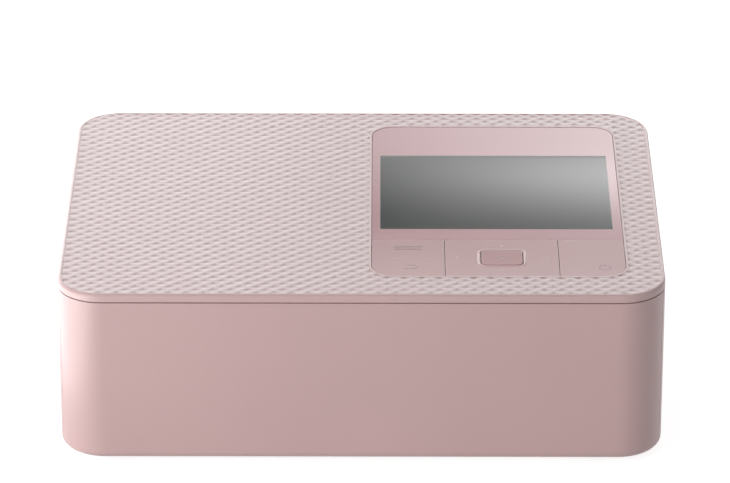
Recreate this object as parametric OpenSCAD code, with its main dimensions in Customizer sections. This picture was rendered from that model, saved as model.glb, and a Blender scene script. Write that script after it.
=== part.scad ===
// Compact photo printer. Millimetres, +Z up, the front faces -Y.
// The origin is on the floor, under the middle of the body.

/* [Body] */
// Width over the side walls
body_w = 182.2; // [181:0.1:190]
// Depth from the front cover to the back wall
body_d = 133; // [132.5:0.1:140]
// Height from the floor to the rim of the lid
body_h = 57.6; // [57.4:0.1:62]
// Radius of the four upright corners
corner_r = 13.5; // [12.5:0.1:14.5]
// Thickness of the outer walls
wall = 2.2; // [1.8:0.1:2.4]
// Radius of the edge round the underside
edge_r = 2.6; // [2.4:0.1:3.2]
// Height of the underside above the floor
foot_h = 2.3; // [2:0.1:3]
// Thickness of the floor of the case
floor_t = 2.2; // [1.8:0.1:2.4]
// How far the case turns in under the base plate
flange_w = 8; // [7:0.1:9]

/* [Lid] */
// Height of the lid's lip
lip_h = 2.4; // [2.2:0.1:2.8]
// Dark seam under the lip
seam = 0.35; // [0.3:0.05:0.5]
// Radius of the lid's top edge
lid_edge_r = 1; // [0.6:0.1:1.4]
// Depth of the sunk field that carries the relief
field_depth = 0.4; // [0.3:0.1:0.6]
// Width of the smooth rim round the field
rim_w = 1.2; // [0.8:0.1:2]
// Thickness of the lid's panel
lid_t = 2.2; // [2:0.1:2.2]
// Depth of the skirt inside the walls
skirt_h = 3.4; // [2.5:0.1:4]
// Thickness of the skirt
skirt_t = 1.4; // [1:0.1:1.8]

/* [Control panel] */
// Distance from the right face to the panel
panel_side = 11.4; // [10.8:0.1:11.9]
// Width of the panel
panel_w = 76.7; // [76.4:0.1:77]
// Distance from the front face to the panel
panel_front = 13.3; // [12.5:0.1:13.5]
// Distance from the back face to the panel
panel_rear = 11.3; // [10.7:0.1:12.7]
// Corner radius of the panel
panel_r = 7; // [6:0.1:7.5]
// Depth of the row of keys
key_row_d = 25.2; // [25:0.1:25.8]
// Width of the menu and back key
menu_key_w = 22.2; // [21.5:0.1:22.6]
// Width of the navigation key
nav_key_w = 34.4; // [34:0.1:34.8]
// Gap round each key
key_gap = 0.2; // [0.15:0.05:0.25]
// Travel of the keys
key_travel = 0.4; // [0.3:0.05:0.4]
// Thickness of the window
window_t = 1.2; // [1:0.1:1.3]
// Width of the OK key
ok_w = 12.4; // [12:0.1:12.8]
// Depth of the OK key
ok_d = 9.7; // [9.4:0.1:10]
// Width of the display module
lcd_w = 74.6; // [73:0.1:75]
// Depth of the display module
lcd_d = 60; // [58:0.1:61]
// Thickness of the display module
lcd_t = 3.2; // [3:0.1:3.2]
// Thickness of every circuit board
board_t = 1.6; // [1.2:0.1:1.6]

/* [Front cover] */
// How far the hinge lies behind the front face and above the underside
hinge_in = 4; // [3.9:0.1:4.3]
// How far the cover reaches round the corners behind its hinge
cover_back = 4.6; // [4.6:0.1:4.8]
// Gap between the cover and the case
cover_gap = 0.3; // [0.3:0.05:0.4]
// Radius of every steel hinge pin
pin_r = 1; // [0.9:0.05:1.1]
// Running clearance round a pin or shaft
run_gap = 0.05; // [0.03:0.01:0.08]

/* [Ink compartment] */
// Front edge of the opening in the right wall
ink_y = -11; // [-11.5:0.1:-10.5]
// Distance from the back face to the opening
ink_rear = 10.5; // [10:0.1:11.5]
// Lower edge of the opening
ink_z = 10.5; // [10.2:0.1:11]
// Distance from the lid's seam down to the opening
ink_drop = 4.35; // [3.95:0.1:5.35]
// Radius of the ink cover's lower edge
ink_edge_r = 2.6; // [2.5:0.1:2.8]
// Radius of the space for a ribbon spool
spool_r = 9.5; // [9:0.1:10]
// Distance from the top of the side plates down to the spools' axes
spool_drop = 16; // [15.5:0.1:16.5]
// Place of the front spool
front_spool_y = 0; // [-0.5:0.1:0]
// Place of the rear spool
rear_spool_y = 46; // [46:0.1:46.5]

/* [Paper path] */
// Width of the drive bay, from the left face to the left side plate
left_bay = 26.1; // [25.8:0.1:26.4]
// Width of the board bay, from the right face to the right side plate
right_bay = 36.1; // [35.8:0.1:36.4]
// Thickness of the side plates
plate_t = 1.2; // [1:0.1:1.5]
// Height of the paper above the floor
paper_z = 19; // [18.9:0.1:19.2]
// Distance from each side plate to the paper cassette port
port_side = 3; // [2:0.1:5]
// Top of the paper cassette port
port_top = 34; // [33:0.1:35]
// Distance from each side plate to the paper slot in the back wall
slot_side = 7; // [6:0.1:8]
// Height of the paper slot in the back wall
slot_h = 6.5; // [5:0.1:7]

/* [Rollers] */
// Radius of the platen roller
platen_r = 6.5; // [6:0.1:6.8]
// Radius of the grip roller
grip_r = 4; // [3.8:0.1:4.2]
// Radius of the pinch roller
pinch_r = 2.5; // [2.3:0.1:2.6]
// Radius of the pickup roller
pickup_r = 10; // [9.5:0.1:10.2]
// Radius of the roller shafts
shaft_r = 2; // [1.8:0.1:2.2]

/* [Drive] */
// Tooth size of the feed gears
feed_module = 0.7; // [0.7:0.01:0.71]
// Teeth of the feed motor's pinion
pinion_teeth = 14; // [14:1:14]
// Teeth of the grip roller's gear
grip_teeth = 24; // [24:1:24]
// Teeth of the idler
idler_teeth = 32; // [32:1:32]
// Teeth of the pickup roller's gear
pickup_teeth = 30; // [30:1:30]
// Tooth size of the ribbon gears
ribbon_module = 0.6; // [0.59:0.01:0.61]
// Teeth of the ribbon motor's pinion
ribbon_pinion_teeth = 12; // [12:1:12]
// Teeth of the ribbon drive gear
ribbon_teeth = 40; // [40:1:40]
// Play between meshed teeth
backlash = 0.16; // [0.14:0.01:0.2]
// Width of the gears
gear_w = 4; // [3:0.1:4.5]
// Diameter of the feed motor
feed_motor_d = 35; // [33:0.5:35]
// Diameter of the ribbon motor
ribbon_motor_d = 15.5; // [12:0.5:15.5]
// Side of the cooling fan
fan_side = 30; // [28:0.5:30]
// Thickness of the cooling fan
fan_t = 8; // [7:0.1:9]

/* [Hidden] */
$fn = 48;
eps = 0.01;

// Levels of the case
under_z = foot_h;
floor_z = under_z + floor_t;
lip_z = body_h - lip_h;
case_top = lip_z - seam;
field_z = body_h - field_depth;
lid_under = body_h - lid_t;
skirt_z = lid_under - skirt_h;
right_x = body_w / 2;
front_y = -body_d / 2;
back_y = body_d / 2;
inner_x = right_x - wall;
inner_back = back_y - wall;
fit_gap = 0.1;

// Front cover hinge
hinge_y = front_y + hinge_in;
hinge_z = under_z + hinge_in;
seam_y = hinge_y + cover_back;
ear_r = 2.2;
ear_x = right_x - 21.1;
ear_w = 5;
knuckle_r = 3;
knuckle_w = 4.6;

// Inner front frame
frame_y = seam_y + cover_gap + 0.3;
frame_t = 2;
frame_back = frame_y + frame_t;
frame_half = inner_x - 1.3;
frame_top = case_top - 3.65;

// Control panel levels
key_top = body_h - 0.1;
key_under = key_top - 1.6;
window_under = key_top - window_t;
lcd_top = window_under - fit_gap;
lcd_under = lcd_top - lcd_t;
board_under = lcd_under - board_t;
tray_top = key_under - 1.45;
tray_under = lcd_under + 0.4;
switch_top = lcd_under + 1.5;
panel_x = right_x - panel_side - panel_w;
panel_y = front_y + panel_front;
panel_d = body_d - panel_front - panel_rear;
stem_end = switch_top + key_travel + 0.05;
keys_back = panel_y + key_row_d;
key_mid_y = panel_y + key_row_d / 2;
nav_x0 = panel_x + menu_key_w;
power_x0 = nav_x0 + nav_key_w;
nav_x = nav_x0 + nav_key_w / 2;
panel_right = panel_x + panel_w;
panel_back = panel_y + panel_d;
lcd_x = panel_x + panel_w / 2 - lcd_w / 2 - 0.1;
lcd_y = keys_back + 4.5;
nav_reach_x = 13.5;
nav_reach_y = 8.4;
rock_reach = 7.5;
power_mark = [panel_right - 6.4, panel_y + 6.4];

// Ink compartment and the hinge of its cover
ink_d = back_y - ink_rear - ink_y;
ink_h = case_top - ink_drop - ink_z;
ink_axis_x = right_x - ink_edge_r;
ink_axis_z = ink_z + cover_gap + ink_edge_r;
ink_pin_r = 0.8;

// Chassis
chassis_w = body_w - left_bay - right_bay;
paper_x = (left_bay - right_bay) / 2;
port_w = chassis_w - 2 * port_side;
slot_w = chassis_w - 2 * slot_side;
left_x = paper_x - chassis_w / 2;
plate_right = paper_x + chassis_w / 2;
outer_left = left_x - plate_t;
outer_right = plate_right + plate_t;
plate_front = frame_back + 3.3;
plate_back = back_y - 5.5;
plate_top = board_under - 1.4;
spool_z = plate_top - spool_drop;
port_x0 = paper_x - port_w / 2;
port_floor = floor_z + fit_gap + 1;
bush_t = 2.5;
bush_wall = 1.25;

// Rollers, as [y, z] of each axis
pickup_at = [-20.5, paper_z + 3 + pickup_r];
grip_at = [13, paper_z - grip_r];
pinch_at = [13, paper_z + 0.15 + pinch_r];
platen_at = [26, paper_z - platen_r];

// Feed gears: the pinion drives the pickup gear and, through the idler, the grip gear
mesh_gap = 0.05;
function pitch_r(m, n) = m * n / 2;
function reach(m, a, b) = pitch_r(m, a + b) + mesh_gap;
function along(from, angle, d) = from + d * [cos(angle), sin(angle)];
function bearing(a, b) = atan2(b[1] - a[1], b[0] - a[0]);
motor_at = along(pickup_at, -30, reach(feed_module, pinion_teeth, pickup_teeth));
// The idler stands where both of its neighbours mesh with it
motor_to_grip = norm(grip_at - motor_at);
arm_a = reach(feed_module, pinion_teeth, idler_teeth);
arm_b = reach(feed_module, grip_teeth, idler_teeth);
idler_turn = acos((arm_a * arm_a + motor_to_grip * motor_to_grip - arm_b * arm_b)
                  / (2 * arm_a * motor_to_grip));
idler_at = along(motor_at, bearing(motor_at, grip_at) + idler_turn, arm_a);
rear_spool_at = [rear_spool_y, spool_z];
front_spool_at = [front_spool_y, spool_z];
ribbon_motor_at = along(rear_spool_at, 145, reach(ribbon_module, ribbon_teeth, ribbon_pinion_teeth));
// Turn of a gear so that its gap meets the tooth of the gear before it
function meshed(phase, n, angle, n_next) =
  angle + 180 + 360 / n_next * (0.5 - (phase - angle) * n / 360);
pickup_phase = 0;
pinion_phase = meshed(pickup_phase, pickup_teeth, bearing(pickup_at, motor_at), pinion_teeth);
idler_phase = meshed(pinion_phase, pinion_teeth, bearing(motor_at, idler_at), idler_teeth);
grip_phase = meshed(idler_phase, idler_teeth, bearing(idler_at, grip_at), grip_teeth);
ribbon_phase = 0;
ribbon_pinion_phase = meshed(ribbon_phase, ribbon_teeth, bearing(rear_spool_at, ribbon_motor_at),
                             ribbon_pinion_teeth);
gear_x1 = outer_left - 1.6;
gear_x0 = gear_x1 - gear_w;
bracket_x1 = gear_x0 - 1;
bracket_x0 = bracket_x1 - 1;
motor_x0 = -inner_x + 0.4;

// Print head, drawn lowered on the platen and turned up about its pivot
head_pivot = [plate_back - 1, plate_top - 1.4];
head_lift = 15;
head_half = chassis_w / 2 - 7;
head_y0 = 20;
head_y1 = 33;
head_bar_t = 3;
sink_top = plate_top - 14.4;
arm_x = paper_x + chassis_w / 2 - 3;

// Fan and electronics
fan_y = inner_back - 39.3;
fan_z = floor_z + 0.3;
main_x0 = outer_right + 2;
main_x1 = right_x - 10.6;
main_y0 = frame_back + 11.3;
main_y1 = back_y - 10.5;
main_z = 6.6;
main_top = main_z + board_t;
card_y = main_y0 + 0.5;
card_w = 27;
inlet_x = right_x - 19.1;
usb_x = right_x - 29.7;
duct_y0 = ink_y + 0.6;
duct_y1 = ink_y + ink_d - 0.6;
duct_z0 = spool_z - spool_r - 2.9;
duct_z1 = ink_z + ink_h - 1.1;
duct_wall = 1.2;
lever_y = 26;
lever_w = 8;
lever_pivot = [outer_right + 5.8, duct_z0 + duct_wall + 2.4];
lift_pivot = [-37, floor_z + 3];
screw_x = [right_x - 7.1, right_x - 5.7];
screw_y = [back_y - 6.5, front_y + 15.9];
screw_at = [for (k = [0, 1], s = [1, -1]) [s * screw_x[k], screw_y[k]]];
post_r = 3.6;
post_top = skirt_z - 0.4;
well_r = 2.4;
well_top = post_top - 5.6;
screw_r = 1;
screw_len = 8;
tabs_x = [-28, 18, right_x - 29.1];
tabs_y = [-30, 14];
tab_w = 10;
tab_t = 1.2;
feet_at = [for (y = [back_y - 16.5, front_y + 17.5], s = [1, -1]) [s * (right_x - 17.1), y]];
foot_r = 6.5;

// ---------- shared shapes ----------

// Rectangle with round corners, from its lower left corner
module round_rect(w, d, r) {
  translate([r, 0]) square([w - 2 * r, d]);
  translate([0, r]) square([w, d - 2 * r]);
  for (x = [r, w - r], y = [r, d - r]) translate([x, y]) circle(r);
}

module plan(w, d, r) translate([-w / 2, -d / 2]) round_rect(w, d, r);

// Extrudes a [y, z] outline along X
module run_x(x0, x1) translate([x0, 0, 0]) rotate([90, 0, 90]) linear_extrude(x1 - x0) children();

// Extrudes an [x, z] outline along Y
module run_y(y0, y1) translate([0, y1, 0]) rotate([90, 0, 0]) linear_extrude(y1 - y0) children();

module rod_x(x0, x1, at, r) run_x(x0, x1) translate(at) circle(r);

module rod_y(y0, y1, at, r) run_y(y0, y1) translate(at) circle(r);

module block(a, b) translate(a) cube(b - a);

// Sweeps a wall section, whose outer face is at x = 0, round the body
module around_body(inset = 0) {
  for (k = [0:3]) {
    reach = (k % 2 == 0 ? body_w : body_d) / 2 - inset;
    len = (k % 2 == 0 ? body_d : body_w) / 2 - corner_r;
    r = corner_r - inset;
    rotate([0, 0, 90 * k]) {
      translate([reach, 0, 0]) rotate([90, 0, 0]) linear_extrude(2 * len, center = true) children();
      translate([reach - r, len, 0]) rotate_extrude(angle = 90) translate([r, 0]) children();
    }
  }
}

// Wall of the case with its round lower edge and the flange under the base plate
module wall_section(top) {
  difference() {
    union() {
      translate([-edge_r, under_z + edge_r]) circle(edge_r);
      translate([-flange_w, under_z]) square([flange_w - edge_r, floor_t]);
      translate([-wall - eps, under_z + edge_r]) square([wall + eps, top - under_z - edge_r]);
    }
    translate([-flange_w - 1, floor_z]) square([flange_w + 1 - wall, edge_r * 2]);
  }
}

// Space of the front cover, which swings about its hinge
module cover_zone(gap) {
  far = body_d;
  r = cover_back + gap;
  run_x(-body_w, body_w) {
    translate([hinge_y - far, hinge_z]) square([far + r, body_h]);
    translate([hinge_y - far, hinge_z - 2 * hinge_in]) square([far, 2 * hinge_in]);
    intersection() {
      translate([hinge_y, hinge_z]) circle(r);
      translate([hinge_y - eps, hinge_z - far]) square([far, far]);
    }
  }
}

// Involute gear outline with a tooth on the x axis
function inv(r, base) = r <= base ? 0 : let(a = acos(base / r)) tan(a) * 180 / PI - a;
module gear_outline(m, n) {
  r = pitch_r(m, n);
  base = r * cos(20);
  half = (90 - backlash / m * 180 / PI) / n + inv(r, base);
  root = r - 1.2 * m;
  radii = [root, max(base, root + 0.1 * m), r, r + 0.5 * m, r + 0.9 * m];
  flank = [for (p = radii) [p, half - inv(p, base)]];
  polygon([
    for (k = [0:n - 1], side = [-1, 1], i = [0:4])
      let(p = flank[side < 0 ? i : 4 - i], a = 360 / n * k + side * p[1]) p[0] * [cos(a), sin(a)]
  ]);
}

module gear(m, n, at, phase, x0, x1, hole) {
  run_x(x0, x1) translate(at) difference() {
    rotate(phase) gear_outline(m, n);
    circle(hole);
  }
}

// Coil along X, as one tube
module coil_x(x0, x1, at, r, wire, turns) {
  rings = turns * 12;
  sides = 6;
  points = [
    for (i = [0:rings], s = [0:sides - 1])
      let(a = 360 * turns * i / rings, b = 360 * s / sides, q = r + wire * cos(b))
      [x0 + (x1 - x0) * i / rings + wire * sin(b), at[0] + q * cos(a), at[1] + q * sin(a)]
  ];
  walls = [
    for (i = [0:rings - 1], s = [0:sides - 1])
      let(a = i * sides + s, b = i * sides + (s + 1) % sides, c = a + sides, d = b + sides)
      each [[a, d, b], [a, c, d]]
  ];
  last = rings * sides;
  caps = [
    for (s = [1:sides - 2]) each [[0, s, s + 1], [last, last + s + 1, last + s]]
  ];
  polyhedron(points, concat(walls, caps));
}

// ---------- case ----------

module case_shell() color("#c9a8a9") {
  ink_ear = 4.2;
  vent_w = 1.8;
  vent_pitch = 4;
  vent_x = -right_x + 13.1;
  vent_z = case_top - 18.85;
  lock_at = [back_y - 24.5, case_top - 12.85];
  difference() {
    union() {
      around_body() wall_section(case_top);
      intersection() {
        for (p = screw_at) translate([p[0], p[1], under_z + eps]) cylinder(h = post_top - under_z, r = post_r);
        linear_extrude(body_h) plan(body_w - wall, body_d - wall, corner_r - wall / 2);
      }
      // Bearing blocks for the ink cover's pins
      for (y = [ink_y - ink_ear, ink_y + ink_d])
        block([inner_x - 3, y, ink_z], [inner_x + eps, y + ink_ear, ink_z + 6]);
    }
    cover_zone(cover_gap);
    // Wells of the case screws, which reach up into the lid
    for (p = screw_at) translate([p[0], p[1], 0]) {
      cylinder(h = well_top, r = well_r);
      cylinder(h = body_h, r = screw_r + 0.15);
    }
    // Ink compartment
    block([inner_x - 1, ink_y, ink_z], [right_x + 1, ink_y + ink_d, ink_z + ink_h]);
    for (y = [ink_y - 3.2, ink_y + ink_d - 1])
      rod_y(y, y + ink_ear, [ink_axis_x, ink_axis_z], ink_pin_r + run_gap);
    // Memory card slot
    run_x(inner_x - 1, right_x + 1) translate([card_y, main_top + 0.4]) round_rect(card_w, 3, 0.8);
    // Paper slot in the back
    run_y(inner_back - 1, back_y + 1)
      translate([paper_x - slot_w / 2, paper_z - slot_h / 2]) round_rect(slot_w, slot_h, 1.5);
    // Power inlet and data port in the back
    rod_y(inner_back - 1, back_y + 1, [inlet_x, main_top + 5], 4.2);
    run_y(inner_back - 1, back_y + 1)
      translate([usb_x - 4.9, main_top + 0.6]) round_rect(9.8, 3.9, 1.9);
    // Vents in the back, and by the fan on the left
    for (k = [0:11]) run_y(inner_back - 1, back_y + 1)
      translate([vent_x + k * vent_pitch, vent_z]) round_rect(vent_w, 11, vent_w / 2 - eps);
    for (k = [0:6]) run_x(-right_x - 1, -inner_x + 1)
      translate([fan_y + 3 + k * vent_pitch - vent_w / 2, fan_z + 4])
        round_rect(vent_w, fan_side - 8, vent_w / 2 - eps);
    // Lock slot
    run_x(-right_x - 1, -inner_x + 1) translate(lock_at) round_rect(7, 3, 1);
  }
}

module base_plate() color("#b99a9b") {
  gap = flange_w + fit_gap;
  difference() {
    union() {
      translate([0, 0, under_z])
        linear_extrude(floor_t) plan(body_w - 2 * gap, body_d - 2 * gap, corner_r - gap + 0.6);
      // Bosses under the main board
      for (x = [main_x0 + 3, main_x1 - 3], y = [main_y0 + 4, main_y1 - 4])
        translate([x, y, floor_z - eps]) cylinder(h = main_z - floor_z + eps, r = 2.4);
      // Snap tabs that rest on the flange of the case
      for (x = tabs_x) {
        block([x, back_y - gap - 3, floor_z - eps], [x + tab_w, back_y - gap - 0.2, floor_z + tab_t]);
        block([x, back_y - gap - 3, floor_z + 0.05], [x + tab_w, inner_back - 0.6, floor_z + tab_t]);
      }
      for (s = [-1, 1], y = tabs_y) {
        x0 = right_x - gap - 3;
        mirror([s < 0 ? 1 : 0, 0, 0]) {
          block([x0, y, floor_z - eps], [right_x - gap - 0.2, y + tab_w, floor_z + tab_t]);
          block([x0, y, floor_z + 0.05], [inner_x - 0.6, y + tab_w, floor_z + tab_t]);
        }
      }
      // Stands of the paper lift lever
      for (s = [-1, 1]) translate([paper_x + s * 7.5, 0, 0]) run_x(-1, 1) difference() {
        union() {
          translate([lift_pivot[0] - 2, floor_z - eps]) square([4, lift_pivot[1] - floor_z]);
          translate(lift_pivot) circle(2);
        }
        translate(lift_pivot) circle(pin_r + run_gap);
      }
    }
    cover_zone(cover_gap);
    for (p = feet_at) translate([p[0], p[1], under_z - 1]) cylinder(h = 1.6, r = foot_r + 0.15);
    for (p = screw_at) translate([p[0], p[1], under_z - 1]) cylinder(h = body_h, r = post_r + fit_gap);
    // Cooling slots under the print head
    for (k = [0:8]) translate([paper_x - 43 + k * 11, platen_at[0] - 12, under_z - 1])
      linear_extrude(floor_t + 2) round_rect(3, 26, 1.4);
  }
}

module front_cover() color("#cbaaab") {
  rib_h = 1.4;
  reach = -ear_r - cover_gap;
  difference() {
    union() {
      intersection() {
        around_body() wall_section(case_top);
        cover_zone(0);
      }
      // Knuckles each side of the ears
      for (s = [-1, 1], x = [ear_x - cover_gap - knuckle_w, ear_x + ear_w + cover_gap])
        run_x(s > 0 ? x : -x - knuckle_w, s > 0 ? x + knuckle_w : -x) {
          translate([hinge_y, hinge_z]) circle(knuckle_r);
          translate([front_y + 0.8, hinge_z - knuckle_r]) square([hinge_in - 0.8, 2 * knuckle_r]);
        }
      // Stiffening ribs on the inside
      for (x = [-50, -25, 0, 25, 50])
        block([x - 0.6, front_y + wall - eps, hinge_z + 6], [x + 0.6, front_y + wall + rib_h, case_top - 6]);
      for (z = [hinge_z + 6, case_top - 7])
        block([2 - ear_x, front_y + wall - eps, z], [ear_x - 2, front_y + wall + rib_h, z + 1.2]);
    }
    for (s = [-1, 1]) {
      rod_x(s * (ear_x + ear_w / 2) - 8, s * (ear_x + ear_w / 2) + 8, [hinge_y, hinge_z], pin_r);
      // Room for the ears, behind an unbroken skin
      x = s > 0 ? ear_x : -ear_x - ear_w;
      block([x - cover_gap, hinge_y + reach, under_z - 1],
            [x + ear_w + cover_gap, hinge_y + 9, hinge_z - reach]);
    }
  }
}

module front_cover_pins() color("silver")
  for (s = [-1, 1]) rod_x(s * (ear_x + ear_w / 2) - 7, s * (ear_x + ear_w / 2) + 7, [hinge_y, hinge_z], pin_r);

// Fixed wall behind the front cover, with the port for the paper cassette
module front_frame() color("#a98c8d") {
  port_low = floor_z + 0.6;
  difference() {
    union() {
      block([-frame_half, frame_y, floor_z + fit_gap], [frame_half, frame_back, frame_top]);
      for (s = [-1, 1]) run_x(s > 0 ? ear_x : -ear_x - ear_w, s > 0 ? ear_x + ear_w : -ear_x) {
        translate([hinge_y, hinge_z - ear_r + 0.6]) square([frame_y - hinge_y + 1, 2 * ear_r - 0.6]);
        translate([hinge_y, hinge_z]) circle(ear_r);
      }
      // Raised rim round the port
      run_y(frame_y - 0.8, frame_y + eps) difference() {
        translate([port_x0 - 2, port_low + 4]) square([port_w + 4, port_top - port_low - 2]);
        translate([port_x0, port_low]) square([port_w, port_top - port_low]);
      }
    }
    run_y(frame_y - 3, frame_back + 1)
      translate([port_x0, port_low]) square([port_w, port_top - port_low]);
    for (s = [-1, 1])
      rod_x(s * (ear_x + ear_w / 2) - 4, s * (ear_x + ear_w / 2) + 4, [hinge_y, hinge_z], pin_r + run_gap);
  }
}

// Side door of the ink compartment, hinged along its lower edge
module ink_cover() color("#c9a8a9") {
  y0 = ink_y + cover_gap;
  y1 = ink_y + ink_d - cover_gap;
  top = ink_z + ink_h - cover_gap;
  difference() {
    union() {
      run_y(y0, y1) {
        translate([ink_axis_x, ink_axis_z]) circle(ink_edge_r);
        translate([right_x - wall, ink_axis_z]) square([wall, top - ink_axis_z]);
      }
      // Frame of ribs behind the panel
      run_x(inner_x - 1.6, inner_x + eps) difference() {
        translate([y0 + 3, ink_axis_z + 5]) round_rect(y1 - y0 - 6, top - ink_axis_z - 8, 2);
        translate([y0 + 4.4, ink_axis_z + 6.4]) round_rect(y1 - y0 - 8.8, top - ink_axis_z - 10.8, 1);
      }
      // Catch at the top
      run_y(ink_y + ink_d / 2 - 5, ink_y + ink_d / 2 + 5)
        translate([inner_x - 1.6, top - 3]) square([1.6 + eps, 1.6]);
    }
    for (y = [y0 - 1, y1 - 4]) rod_y(y, y + 5, [ink_axis_x, ink_axis_z], ink_pin_r);
    // Finger recess under the top edge
    translate([right_x + 3.2, ink_y + ink_d / 2, top - 2.4]) rotate([90, 0, 0])
      cylinder(h = 16, r = 4, center = true);
  }
}

module ink_cover_pins() color("silver") {
  for (y = [ink_y - 3, ink_y + ink_d - cover_gap - 3.9])
    rod_y(y, y + 6.9 + 0.3, [ink_axis_x, ink_axis_z], ink_pin_r);
}

module rubber_feet() color("#3a3a3c")
  for (p = feet_at) translate([p[0], p[1], 0]) {
    cylinder(h = foot_h + 0.55, r = foot_r);
  }

module case_screws() color("dimgray")
  for (p = screw_at) translate([p[0], p[1], well_top]) difference() {
    union() {
      translate([0, 0, -1.6]) cylinder(h = 1.6, r = well_r - 0.3);
      translate([0, 0, -eps]) cylinder(h = screw_len, r = screw_r);
    }
    translate([0, 0, -2]) for (a = [0, 90]) rotate(a) cube([2.6, 0.6, 2], center = true);
  }

// ---------- lid and controls ----------

module lid_section() {
  difference() {
    union() {
      translate([-lid_edge_r, body_h - lid_edge_r]) circle(lid_edge_r);
      translate([-corner_r + 1, lid_under]) square([corner_r - 1 - lid_edge_r, lid_t]);
      translate([-lid_edge_r - eps, lip_z]) square([lid_edge_r + eps, lip_h - lid_edge_r]);
      translate([-wall - 1, lip_z]) square([wall + 1, lid_under - lip_z + eps]);
    }
    translate([-corner_r, field_z]) square([corner_r - rim_w, 1]);
  }
  // Skirt inside the walls
  translate([-wall - 0.2 - skirt_t, skirt_z]) square([skirt_t, lid_under - skirt_z + eps]);
}

module panel_outline(gap) translate([panel_x + gap, panel_y + gap])
  round_rect(panel_w - 2 * gap, panel_d - 2 * gap, panel_r - gap);

module top_cover() color("#d6bbbb") {
  inside = corner_r - 1;
  difference() {
    union() {
      around_body() lid_section();
      translate([0, 0, lid_under])
        linear_extrude(field_z - lid_under) square([body_w - 2 * inside, body_d - 2 * inside], center = true);
      // Rim round the control panel
      translate([0, 0, field_z - eps]) linear_extrude(field_depth + eps) panel_outline(-0.7);
      // Bosses over the posts of the case
      for (p = screw_at) translate([p[0], p[1], post_top + 0.05])
        intersection() {
          cylinder(h = lid_under - post_top, r = post_r - 0.4);
          translate([-p[0], -p[1], 0])
            linear_extrude(20) plan(body_w - 2 * wall - 0.6, body_d - 2 * wall - 0.6, corner_r - wall - 0.3);
        }
    }
    for (p = screw_at) translate([p[0], p[1], 0]) cylinder(h = well_top + screw_len + 0.5, r = screw_r);
    translate([0, 0, lid_under - 1]) linear_extrude(lid_t + 2) panel_outline(0);
  }
}

module display_window() color("#b08f92") {
  translate([0, 0, window_under]) linear_extrude(window_t) intersection() {
    panel_outline(0.15);
    translate([panel_x, keys_back + key_gap / 2]) square([panel_w, panel_d]);
  }
}

module display_module() color("#8c8f8b")
  block([lcd_x, lcd_y, lcd_under], [lcd_x + lcd_w, lcd_y + lcd_d, lcd_top]);

// Frame under the panel that carries the window, the display and the keys
module panel_frame() color("#8f7678") {
  margin = 2.2;
  difference() {
    union() {
      translate([panel_x - margin, panel_y - margin, tray_under])
        cube([panel_w + 2 * margin, panel_d + 2 * margin, lid_under - tray_under - fit_gap / 2]);
      translate([0, 0, tray_under]) linear_extrude(window_under - tray_under) intersection() {
        panel_outline(0.5);
        translate([panel_x, keys_back + 0.3]) square([panel_w, panel_d]);
      }
      // Walls down to the control board
      difference() {
        block([panel_x - 1, panel_y - 1, board_under - 0.6], [panel_right + 1, lcd_y + lcd_d + 2, tray_under + eps]);
        block([panel_x + 0.4, panel_y + 0.4, board_under - 1], [panel_right - 0.4, lcd_y + lcd_d + 0.8, tray_under + 1]);
      }
    }
    // Well of the keys
    translate([0, 0, tray_top]) linear_extrude(5) intersection() {
      panel_outline(0);
      translate([panel_x, panel_y - 1]) square([panel_w, key_row_d + 1.1]);
    }
    block([lcd_x - 0.15, lcd_y - 0.15, board_under], [lcd_x + lcd_w + 0.15, lcd_y + lcd_d + 0.15, body_h]);
    // Holes for the stems of the keys
    for (p = stems()) translate([p[0], p[1], board_under]) cylinder(h = 6, r = 3.1);
  }
}

function stems() = concat(
  [for (s = [-1, 1]) [panel_x + menu_key_w / 2, key_mid_y + s * rock_reach]],
  [for (s = [-1, 1]) [nav_x + s * nav_reach_x, key_mid_y]],
  [for (s = [-1, 1]) [nav_x, key_mid_y + s * nav_reach_y]],
  [[nav_x, key_mid_y]],
  [power_mark]
);

module control_board() color("#2f6b46") {
  block([panel_x + 0.6, panel_y + 0.6, board_under], [panel_right - 0.6, lcd_y + lcd_d + 0.6, lcd_under]);
}

module key_switches() color("#1e1e20")
  for (p = stems()) translate([p[0], p[1], lcd_under]) {
    translate([-2.1, -2.1, 0]) cube([4.2, 4.2, 0.85]);
    cylinder(h = switch_top - lcd_under, r = 1.1);
  }

// Part of the key row between two x, with the panel's own corners
module key_outline(x0, x1) intersection() {
  panel_outline(0.15);
  translate([x0 + key_gap / 2, panel_y]) square([x1 - x0 - key_gap, key_row_d - key_gap / 2]);
}

module stem(p, top) translate([p[0], p[1], stem_end]) cylinder(h = top - stem_end, r = 1.5);

module menu_back_key() color("#b58f92") {
  translate([0, 0, key_under]) linear_extrude(key_top - key_under) key_outline(panel_x, nav_x0);
  for (i = [0, 1]) stem(stems()[i], key_under + eps);
}

module nav_key() color("#b58f92") {
  top_t = 0.9;
  difference() {
    union() {
      translate([0, 0, key_top - top_t]) linear_extrude(top_t) key_outline(nav_x0, power_x0);
      for (i = [2, 3]) stem(stems()[i], key_top - top_t + eps);
    }
    translate([nav_x - ok_w / 2 - 0.25, key_mid_y - ok_d / 2 - 0.25, key_under - 1])
      linear_extrude(5) round_rect(ok_w + 0.5, ok_d + 0.5, 1.8);
  }
}

// Plate under the navigation key that passes on presses to the front and back
module nav_actuator() color("#d8d4d0") {
  half_x = 10.2;
  half_y = 11;
  room = 1.5;
  difference() {
    union() {
      translate([nav_x - half_x, key_mid_y - half_y, key_under - 0.25])
        linear_extrude(0.6) round_rect(2 * half_x, 2 * half_y, 2);
      for (i = [4, 5]) stem(stems()[i], key_under);
    }
    translate([nav_x - ok_w / 2 - room, key_mid_y - ok_d / 2 - room, key_under - 5])
      linear_extrude(10) round_rect(ok_w + 2 * room, ok_d + 2 * room, 1.8);
  }
}

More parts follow.
